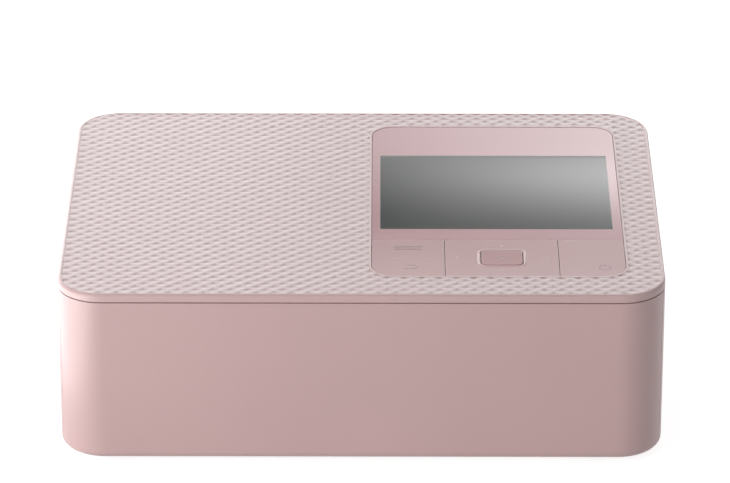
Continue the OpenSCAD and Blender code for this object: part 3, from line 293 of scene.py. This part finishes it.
# ---------- chassis ----------
# Two flat side plates of zinc-plated steel stand on the base and are tied by two braces with
# folded ends. The drive bracket is a third plate, on posts of the left one. Fine rolling lines
# run along each of them.
lines, given, result = effect(
    "worked_metal",
    [("Colour", "NodeSocketColor", (0.5, 0.5, 0.5, 1)), ("Rough", "NodeSocketFloat", 0.3),
     ("Stretch", "NodeSocketVector", (1.0, 1.0, 1.0)), ("Depth", "NodeSocketFloat", 0.000005)],
    [("Colour", "NodeSocketColor"), ("Rough", "NodeSocketFloat"), ("Normal", "NodeSocketVector")])
place = add_node(lines, "ShaderNodeTexCoord").outputs["Object"]
drawn = add_node(lines, "ShaderNodeVectorMath", {0: place, 1: given["Stretch"]},
                 operation="MULTIPLY").outputs[0]
rounded = add_node(lines, "ShaderNodeBevel", {"Radius": 0.00012}, samples=4).outputs[0]
scratch = noise(lines, drawn, 60.0, 5.0)
bump = add_node(lines, "ShaderNodeBump",
                {"Height": scratch, "Distance": given["Depth"], "Normal": rounded})
toned = add_node(lines, "ShaderNodeHueSaturation",
                 {"Color": given["Colour"], "Value": ramp(lines, scratch, 0.3, 0.7, 0.84, 1.06)})
lines.links.new(toned.outputs[0], result["Colour"])
dull = ramp(lines, noise(lines, place, 90.0, 3.0), 0.35, 0.65, -0.05, 0.08)
lines.links.new(reckon(lines, "ADD", dull, given["Rough"]), result["Rough"])
lines.links.new(bump.outputs[0], result["Normal"])


def worked(name, base, rough, stretch, depth):
    """A bare or plated metal. The marks of its making are finer along a larger stretch."""
    made, shader = surfaced(name, lines, {"Colour": base, "Rough": rough, "Stretch": stretch,
                                          "Depth": depth})
    shader.inputs["Metallic"].default_value = 1.0
    return made


zinc = colour(196, 197, 200)
plated_sheet = worked("plated_sheet", zinc, 0.34, (30.0, 1.5, 30.0), 0.000004)
dress(plated_sheet, "left_side_plate", "right_side_plate", "drive_bracket")
plated_rail = worked("plated_rail", zinc, 0.34, (1.5, 30.0, 30.0), 0.000004)
dress(plated_rail, "cross_braces")


# ---------- paper path ----------
# Grey glass-filled mouldings guide the paper cassette, the paper and the ink cassette. Ground
# steel rollers and shafts turn in white acetal bushes in the side plates. The platen is rubber,
# and so are the two tyres of the pickup roller. Both levers are moulded in acetal.
grey_plastic = moulding("grey_matt_plastic", colour(84, 82, 84), 0.5, depth=0.00003)
dress(grey_plastic, "cassette_guide", "rear_paper_guide", "ink_cassette_guide")
ground_shaft = worked("ground_shaft", colour(214, 214, 216), 0.18, (40.0, 2.0, 2.0), 0.000003)
dress(ground_shaft, "platen_shaft", "grip_roller", "pinch_roller", "pickup_shaft")
dress(rubber, "platen_roller", "pickup_roller")
acetal = moulding("white_acetal", colour(226, 224, 216), 0.3, depth=0.000008, wear=0.1)
dress(acetal, "roller_bushes", "paper_lift_lever", "ink_eject_lever")


# ---------- drives ----------
# Two small motors in drawn steel cans carry turned brass pinions. They drive moulded acetal
# gears on the rollers' shafts and on the rear spool's hub. The front spool's hub turns freely.
drawn_can = worked("drawn_can", colour(168, 171, 175), 0.28, (2.0, 25.0, 25.0), 0.000003)
dress(drawn_can, "feed_motor", "ribbon_motor")
turned_brass = worked("turned_brass", colour(214, 180, 104), 0.25, (40.0, 3.0, 3.0), 0.000003)
dress(turned_brass, "motor_pinion", "ribbon_pinion")
dress(acetal, "grip_gear", "pickup_gear", "idler_gear", "ribbon_drive_gear", "supply_hub")


# ---------- print head ----------
# A glazed ceramic bar with the heating line sits under an extruded aluminium heat sink. Its
# plated steel arms swing on a ground shaft, with two coiled wire springs round it.
ceramic = moulding("glazed_ceramic", colour(218, 212, 198), 0.12, grain=1400.0, depth=0.000004)
dress(ceramic, "thermal_head")
extruded_fins = worked("extruded_fins", colour(208, 210, 212), 0.3, (2.0, 40.0, 40.0), 0.000005)
dress(extruded_fins, "head_heat_sink")
dress(plated_sheet, "head_arm")
dress(ground_shaft, "head_pivot_shaft")
plated_wire = worked("plated_wire", colour(206, 206, 208), 0.26, (20.0, 20.0, 20.0), 0.000002)
dress(plated_wire, "head_springs")


# ---------- boards, sockets and fan ----------
# Both boards are glass epoxy under green lacquer: copper tracks show through it as paler lines,
# and the solder joints as small bright spots. The boards' parts, the fan and the power inlet
# are black plastic, the card and data sockets plated steel, and the flat cable a pale film.
green_board = moulding("green_board", colour(38, 96, 62), 0.3, grain=1400.0, depth=0.00001)
tree = green_board.node_tree
shader = tree.nodes["Principled BSDF"]
lacquer = shader.inputs["Base Color"].links[0].from_socket
place = add_node(tree, "ShaderNodeTexCoord").outputs["Object"]
tracks = add_node(tree, "ShaderNodeTexBrick",
                  {"Vector": place, "Scale": 1.0, "Mortar Size": 0.00016, "Mortar Smooth": 0.1,
                   "Brick Width": 0.0093, "Row Height": 0.0013},
                  offset=0.37, offset_frequency=3)
spots = add_node(tree, "ShaderNodeTexVoronoi",
                 {"Vector": place, "Scale": 260.0, "Randomness": 0.75}).outputs["Distance"]
solder = ramp(tree, spots, 0.2, 0.15)
tracked = blended(tree, tracks.outputs["Fac"], lacquer, colour(74, 136, 84))
tree.links.new(blended(tree, solder, tracked, colour(202, 202, 198)), shader.inputs["Base Color"])
tree.links.new(solder, shader.inputs["Metallic"])
dress(green_board, "control_board", "main_board")
black_plastic = moulding("black_matt_plastic", colour(52, 52, 54), 0.55, depth=0.00003)
dress(black_plastic, "board_parts", "power_inlet", "fan_frame", "fan_rotor")
dress(plated_rail, "card_socket", "usb_socket")
cable_film = moulding("cable_film", colour(226, 222, 208), 0.3, grain=900.0, depth=0.000004)
dress(cable_film, "display_cable")


# ---------- case and covers ----------
# Injection-moulded ABS in a pale rose, self-coloured, with the fine satin of a spark-eroded
# mould. The front and the ink cover are separate mouldings on steel pins. Four screws reach up
# through the case from below and hold the lid.
case_rose = moulding("rose_satin_case", colour(203, 170, 169), 0.36, depth=0.000012, wear=0.15,
                     flow=0.02, gloss=0.8)
dress(case_rose, "case_shell", "front_cover", "ink_cover")
dress(ground_shaft, "front_cover_pins")
dress(plated_wire, "ink_cover_pins", "case_screws")


# ---------- lid and its relief ----------
# The lid is moulded in the same rose. Its field is covered with staggered lozenge-shaped
# hollows, parted by a net of blunt ridges that end just below the level of the rim.
lip_rose = moulding("rose_satin_lip", colour(204, 173, 172), 0.4, depth=0.00001, wear=0.15,
                    flow=0.015, gloss=0.85)
dress(lip_rose, "top_cover")
# The relief's rose is paler and greyer than the case's: painted sheen.
relief_rose_painted_sheen = moulding("rose_satin_lid_painted_sheen", colour(206, 181, 182), 0.42, depth=0.00001, wear=0.2,
                       flow=0.015, gloss=0.85)

MM = 0.001
lozenge_x, lozenge_y = 5.2 * MM, 4.2 * MM
columns, rows = 36, 33
crest_z, web = 57.585 * MM, 0.5 * MM
field_x, field_y, field_r = 89.9 * MM, 65.3 * MM, 12.3 * MM
panel_x0, panel_x1, panel_y0, panel_y1 = 2.65 * MM, 80.05 * MM, -53.55 * MM, 55.55 * MM
panel_r = 7.35 * MM
# How far in and how far down each step of a hollow's side goes, in mm.
hollow_steps = ((0.5, 0.03), (0.24, 0.08), (0.3, 0.12), (0.25, 0.02))


def pick(test):
    """In edit mode, selects only the faces whose middle passes the test, and counts them."""
    bpy.ops.mesh.select_mode(type="FACE")
    data = bpy.context.active_object.data
    work = bmesh.from_edit_mesh(data)
    for face in work.faces:
        face.select_set(False)
    chosen = [face for face in work.faces if test(face.calc_center_median())]
    for face in chosen:
        face.select_set(True)
    work.select_flush(True)
    bmesh.update_edit_mesh(data)
    return len(chosen)


bpy.ops.object.select_all(action="DESELECT")
bpy.ops.mesh.primitive_circle_add(vertices=4, radius=1, fill_type="NGON", location=(0, 0, 0))
relief = bpy.context.active_object
relief.name = "lid_relief"
bpy.ops.object.mode_set(mode="EDIT")
bpy.ops.mesh.select_all(action="SELECT")
bpy.ops.transform.resize(value=(lozenge_x / 2, lozenge_y / 2, 1))
for inward, drop in hollow_steps:
    bpy.ops.mesh.inset(thickness=inward * MM, depth=0)
    bpy.ops.transform.translate(value=(0, 0, -drop * MM))
bpy.ops.object.mode_set(mode="OBJECT")

for count, offset in ((columns, (lozenge_x, 0, 0)), (rows, (0, lozenge_y, 0))):
    repeat = relief.modifiers.new("repeat", "ARRAY")
    repeat.use_relative_offset = False
    repeat.use_constant_offset = True
    repeat.constant_offset_displace = offset
    repeat.count = count
    bpy.ops.object.modifier_apply(modifier=repeat.name)
bpy.ops.object.mode_set(mode="EDIT")
bpy.ops.mesh.select_all(action="SELECT")
bpy.ops.transform.translate(
    value=(-lozenge_x * (columns - 1) / 2, -lozenge_y * (rows - 1) / 2, crest_z))
bpy.ops.mesh.duplicate_move(
    TRANSFORM_OT_translate={"value": (lozenge_x / 2, lozenge_y / 2, 0)})
bpy.ops.mesh.select_all(action="SELECT")
bpy.ops.mesh.remove_doubles(threshold=0.02 * MM)

# Most of the lozenges under the control panel go first, which keeps the cuts below quick.
margin = 3.2 * MM
pick(lambda at: panel_x0 + margin < at.x < panel_x1 - margin
     and panel_y0 + margin < at.y < panel_y1 - margin)
bpy.ops.mesh.delete(type="FACE")


def round_outline(x0, x1, y0, y1, radius, steps):
    """Points and outward directions round a rectangle with round corners, for straight cuts."""
    cuts = []
    for sx, sy, start in ((1, 1, 0), (-1, 1, 90), (-1, -1, 180), (1, -1, 270)):
        centre = Vector((x1 - radius if sx > 0 else x0 + radius,
                         y1 - radius if sy > 0 else y0 + radius, 0))
        for i in range(steps + 1):
            angle = math.radians(start + 90 * i / steps)
            out = Vector((math.cos(angle), math.sin(angle), 0))
            cuts.append((centre + radius * out, out))
    return cuts


# The field's outline is trimmed, and then faces are cut along the outline of the panel's place.
for at, out in round_outline(-field_x, field_x, -field_y, field_y, field_r, 8):
    bpy.ops.mesh.select_all(action="SELECT")
    bpy.ops.mesh.bisect(plane_co=at, plane_no=out, clear_outer=True, use_fill=False)
for at, out in round_outline(panel_x0, panel_x1, panel_y0, panel_y1, panel_r, 6):
    side = Vector((-out.y, out.x, 0))
    straight = max(abs(out.x), abs(out.y)) > 0.999
    spread = (60 if straight else 4.5) * MM
    pick(lambda p: abs((p - at).dot(out)) < 5 * MM and abs((p - at).dot(side)) < spread)
    bpy.ops.mesh.bisect(plane_co=at, plane_no=out, use_fill=False)


def under_panel(p):
    """Whether a point lies inside the round outline of the panel's place."""
    dx = max(panel_x0 + panel_r - p.x, 0, p.x - panel_x1 + panel_r)
    dy = max(panel_y0 + panel_r - p.y, 0, p.y - panel_y1 + panel_r)
    if not (panel_x0 < p.x < panel_x1 and panel_y0 < p.y < panel_y1):
        return False
    return math.hypot(dx, dy) < panel_r


pick(under_panel)
bpy.ops.mesh.delete(type="FACE")
# A thin web below joins the lozenges and sinks into the lid.
bpy.ops.mesh.select_all(action="SELECT")
bpy.ops.mesh.remove_doubles(threshold=0.005 * MM)
bpy.ops.mesh.select_all(action="SELECT")
bpy.ops.mesh.extrude_region_move(TRANSFORM_OT_translate={"value": (0, 0, -web)})
bpy.ops.transform.resize(value=(1, 1, 0), center_override=(0, 0, crest_z - web))
bpy.ops.mesh.select_all(action="SELECT")
bpy.ops.mesh.normals_make_consistent(inside=False)
bpy.ops.object.mode_set(mode="OBJECT")
bpy.ops.object.shade_smooth_by_angle(angle=math.radians(50))
relief.data.materials.append(relief_rose_painted_sheen)
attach(relief, "root")


# ---------- control panel: window and display ----------
# A black frame carries the window, the display and the keys over their switches. The window is
# glossy rose acrylic, printed from behind and clear only over the display, which is dark grey
# glass while it sleeps.
dress(black_plastic, "panel_frame", "key_switches")
# Height of the window and of the keys in mm, as plate and printed_ring take all their sizes.
panel_top = 57.5


def paint_gap_shade(material, low=57.1 * MM, high=57.3 * MM, tone=colour(72, 44, 46)):
    """Paints shade into a finish from one height down to another: the shadow in the gap round a
    key.
    """
    tree = material.node_tree
    base = tree.nodes["Principled BSDF"].inputs["Base Color"]
    shaded = blended(tree, ramp(tree, along(tree, "Z"), high, low), base.links[0].from_socket, tone)
    tree.links.new(shaded, base)
    return material


# The window's sides below its top get painted shade, as of the gap round it.
window_rose = paint_gap_shade(moulding("rose_gloss_panel", colour(209, 164, 168), 0.1, grain=900.0,
                                 depth=0.000002, wear=0.1, flow=0.01))
dress(window_rose, "display_window")

# Along the display's rear edge its glass is less polished, in a band that fades to the front.
display_glass = moulding("sleeping_display", colour(36, 43, 39), 0.09, grain=700.0,
                         depth=0.000001, wear=0.0, flow=0.01)
tree = display_glass.node_tree
polish = tree.nodes["Principled BSDF"].inputs["Roughness"]
band = ramp(tree, along(tree, "Y"), 30.4 * MM, 32.8 * MM, 0.0, 0.2,
            interpolation_type="SMOOTHSTEP")
tree.links.new(reckon(tree, "ADD", band, polish.links[0].from_socket), polish)
dress(display_glass, "display_module")


def plate(name, x0, x1, y0, y1, z0, z1, radius, body, material):
    """A thin plate with round corners: a cube cut to size in mm, its upright edges rounded."""
    bpy.ops.object.select_all(action="DESELECT")
    bpy.ops.mesh.primitive_cube_add(size=1, location=(0, 0, 0))
    made = bpy.context.active_object
    made.name = name
    bpy.ops.object.mode_set(mode="EDIT")
    bpy.ops.transform.resize(value=((x1 - x0) * MM, (y1 - y0) * MM, (z1 - z0) * MM))
    bpy.ops.transform.translate(
        value=((x0 + x1) / 2 * MM, (y0 + y1) / 2 * MM, (z0 + z1) / 2 * MM))
    bpy.ops.mesh.select_mode(type="EDGE")
    work = bmesh.from_edit_mesh(made.data)
    for edge in work.edges:
        edge.select_set(abs(edge.verts[0].co.z - edge.verts[1].co.z) > 0.5 * (z1 - z0) * MM)
    bmesh.update_edit_mesh(made.data)
    bpy.ops.mesh.bevel(offset=radius * MM, segments=6)
    bpy.ops.object.mode_set(mode="OBJECT")
    made.data.materials.append(material)
    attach(made, body)


plate("display_pane", 5.6, 76.8, -20.4, 33.3, panel_top - 0.1, panel_top + 0.015, 0.5, "root",
      display_glass)


# ---------- control panel: keys and their marks ----------
# The keys are of the window's rose acrylic, in a slightly deeper tone, and the navigation key
# rests on an acetal plate. The marks are printed on top: bars for the menu, an arrow that turns
# back, a power ring, a ring and dots. A pale line where the menu and power keys tilt is a
# painted highlight.
dress(acetal, "nav_actuator")
# The keys' sides below their tops get painted shade, as of the gaps between them.
key_rose = paint_gap_shade(moulding("rose_gloss_keys", colour(202, 160, 161), 0.14, grain=900.0,
                              depth=0.000003, wear=0.1, flow=0.01))
dress(key_rose, "menu_back_key", "nav_key", "power_key")
ok_rose = paint_gap_shade(moulding("rose_gloss_ok_key", colour(190, 139, 140), 0.14, grain=900.0,
                             depth=0.000003, wear=0.1, flow=0.01))
dress(ok_rose, "ok_key")
dark_ink = moulding("key_marks", colour(150, 112, 117), 0.3, grain=900.0, depth=0.000002,
                    wear=0.0)
pale_ink_and_highlight = moulding("pale_key_marks_and_highlights", colour(214, 182, 183), 0.3, grain=900.0, depth=0.000002,
                    wear=0.0)
# The ink stands this far proud of a key, and the plates of it start this far down, in mm.
ink, thick_ink, sunk = 0.02, 0.03, 0.05
ok_x, ok_y, ok_top = 42.4, -40.6, 57.6


def printed_ring(name, x, y, z, radius, width, body, keep):
    """A flat printed ring or arc: a torus pressed flat, of which keep chooses the stretch."""
    bpy.ops.object.select_all(action="DESELECT")
    bpy.ops.mesh.primitive_torus_add(major_radius=radius * MM, minor_radius=width / 2 * MM,
                                     major_segments=32, minor_segments=8, location=(0, 0, 0))
    arc = bpy.context.active_object
    arc.name = name
    bpy.ops.object.mode_set(mode="EDIT")
    if pick(lambda at: not keep(at.x / MM, at.y / MM)):
        # The rest is taken away, and the two open ends are closed.
        bpy.ops.mesh.delete(type="FACE")
        bpy.ops.mesh.select_all(action="DESELECT")
        bpy.ops.mesh.select_mode(type="EDGE")
        bpy.ops.mesh.select_non_manifold()
        bpy.ops.mesh.edge_face_add()
    bpy.ops.mesh.select_all(action="SELECT")
    pressed = 2 * ink / width
    bpy.ops.transform.resize(value=(1, 1, pressed), center_override=(0, 0, 0))
    bpy.ops.transform.translate(value=(x * MM, y * MM, z * MM))
    bpy.ops.mesh.normals_make_consistent(inside=False)
    bpy.ops.object.mode_set(mode="OBJECT")
    arc.data.materials.append(dark_ink)
    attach(arc, body)


for i, y in enumerate((-32.5, -33.6, -34.7)):
    plate("menu_mark_%d" % i, 9.9, 18.3, y - 0.25, y + 0.25, panel_top - sunk, panel_top + ink, 0.2,
          "menu_back_key", dark_ink)
printed_ring("back_bend", 15.5, -46.7, panel_top, 1.15, 0.45, "menu_back_key", lambda x, y: x > 0)
for i, (x0, y) in enumerate(((13.6, -45.55), (12.9, -47.85))):
    plate("back_bar_%d" % i, x0, 15.6, y - 0.22, y + 0.22, panel_top - sunk, panel_top + ink, 0.1,
          "menu_back_key", dark_ink)
printed_ring("power_ring", 73.3, -46.8, panel_top, 1.7, 0.42, "power_key",
             lambda x, y: not (y > 0 and abs(x) < 0.75))
plate("power_bar", 73.1, 73.5, -46.6, -44.6, panel_top - sunk, panel_top + ink, 0.15, "power_key",
      dark_ink)
printed_ring("ok_ring", ok_x, ok_y, ok_top - 0.01, 1.0, 0.4, "ok_key", lambda x, y: True)
for i, (x, y) in enumerate(((28.9, -40.4), (42.4, -32.2), (56.0, -40.4), (42.4, -49.2))):
    plate("nav_dot_%d" % i, x - 0.35, x + 0.35, y - 0.3, y + 0.3, panel_top - sunk,
          panel_top + thick_ink, 0.2, "nav_key", pale_ink_and_highlight)
# Two pale lines where the menu and power keys tilt are painted highlights.
plate("key_crease_highlight", 9.0, 21.5, -41.25, -41.0, panel_top - sunk, panel_top + thick_ink, 0.1,
      "menu_back_key", pale_ink_and_highlight)
plate("power_crease_highlight", 61.5, 78.0, -28.9, -28.65, panel_top - sunk, panel_top + thick_ink, 0.1,
      "power_key", pale_ink_and_highlight)

# A raised lip of the navigation key stands round the OK key and slopes down to it. It is a
# rounded plate, stepped inwards and opened in the middle, then given its wall.
bpy.ops.object.select_all(action="DESELECT")
bpy.ops.mesh.primitive_plane_add(size=1, location=(0, 0, 0))
lip = bpy.context.active_object
lip.name = "ok_surround"
bpy.ops.object.mode_set(mode="EDIT")
bpy.ops.mesh.select_all(action="SELECT")
bpy.ops.transform.resize(value=(14.9 * MM, 12.0 * MM, 1))
bpy.ops.mesh.bevel(offset=2.6 * MM, segments=8, affect="VERTICES")
bpy.ops.transform.translate(value=(ok_x * MM, ok_y * MM, (panel_top - 0.03) * MM))
for inward, rise in ((0.35, 0.1), (0.3, 0.0), (0.35, -0.22)):
    bpy.ops.mesh.inset(thickness=inward * MM, depth=0)
    bpy.ops.transform.translate(value=(0, 0, rise * MM))
bpy.ops.mesh.delete(type="FACE")
bpy.ops.object.mode_set(mode="OBJECT")
bpy.ops.object.shade_smooth_by_angle(angle=math.radians(35))
wall = lip.modifiers.new("wall", "SOLIDIFY")
wall.thickness = 0.12 * MM
wall.offset = -1
bpy.ops.object.modifier_apply(modifier=wall.name)
lip.data.materials.append(key_rose)
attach(lip, "nav_key")
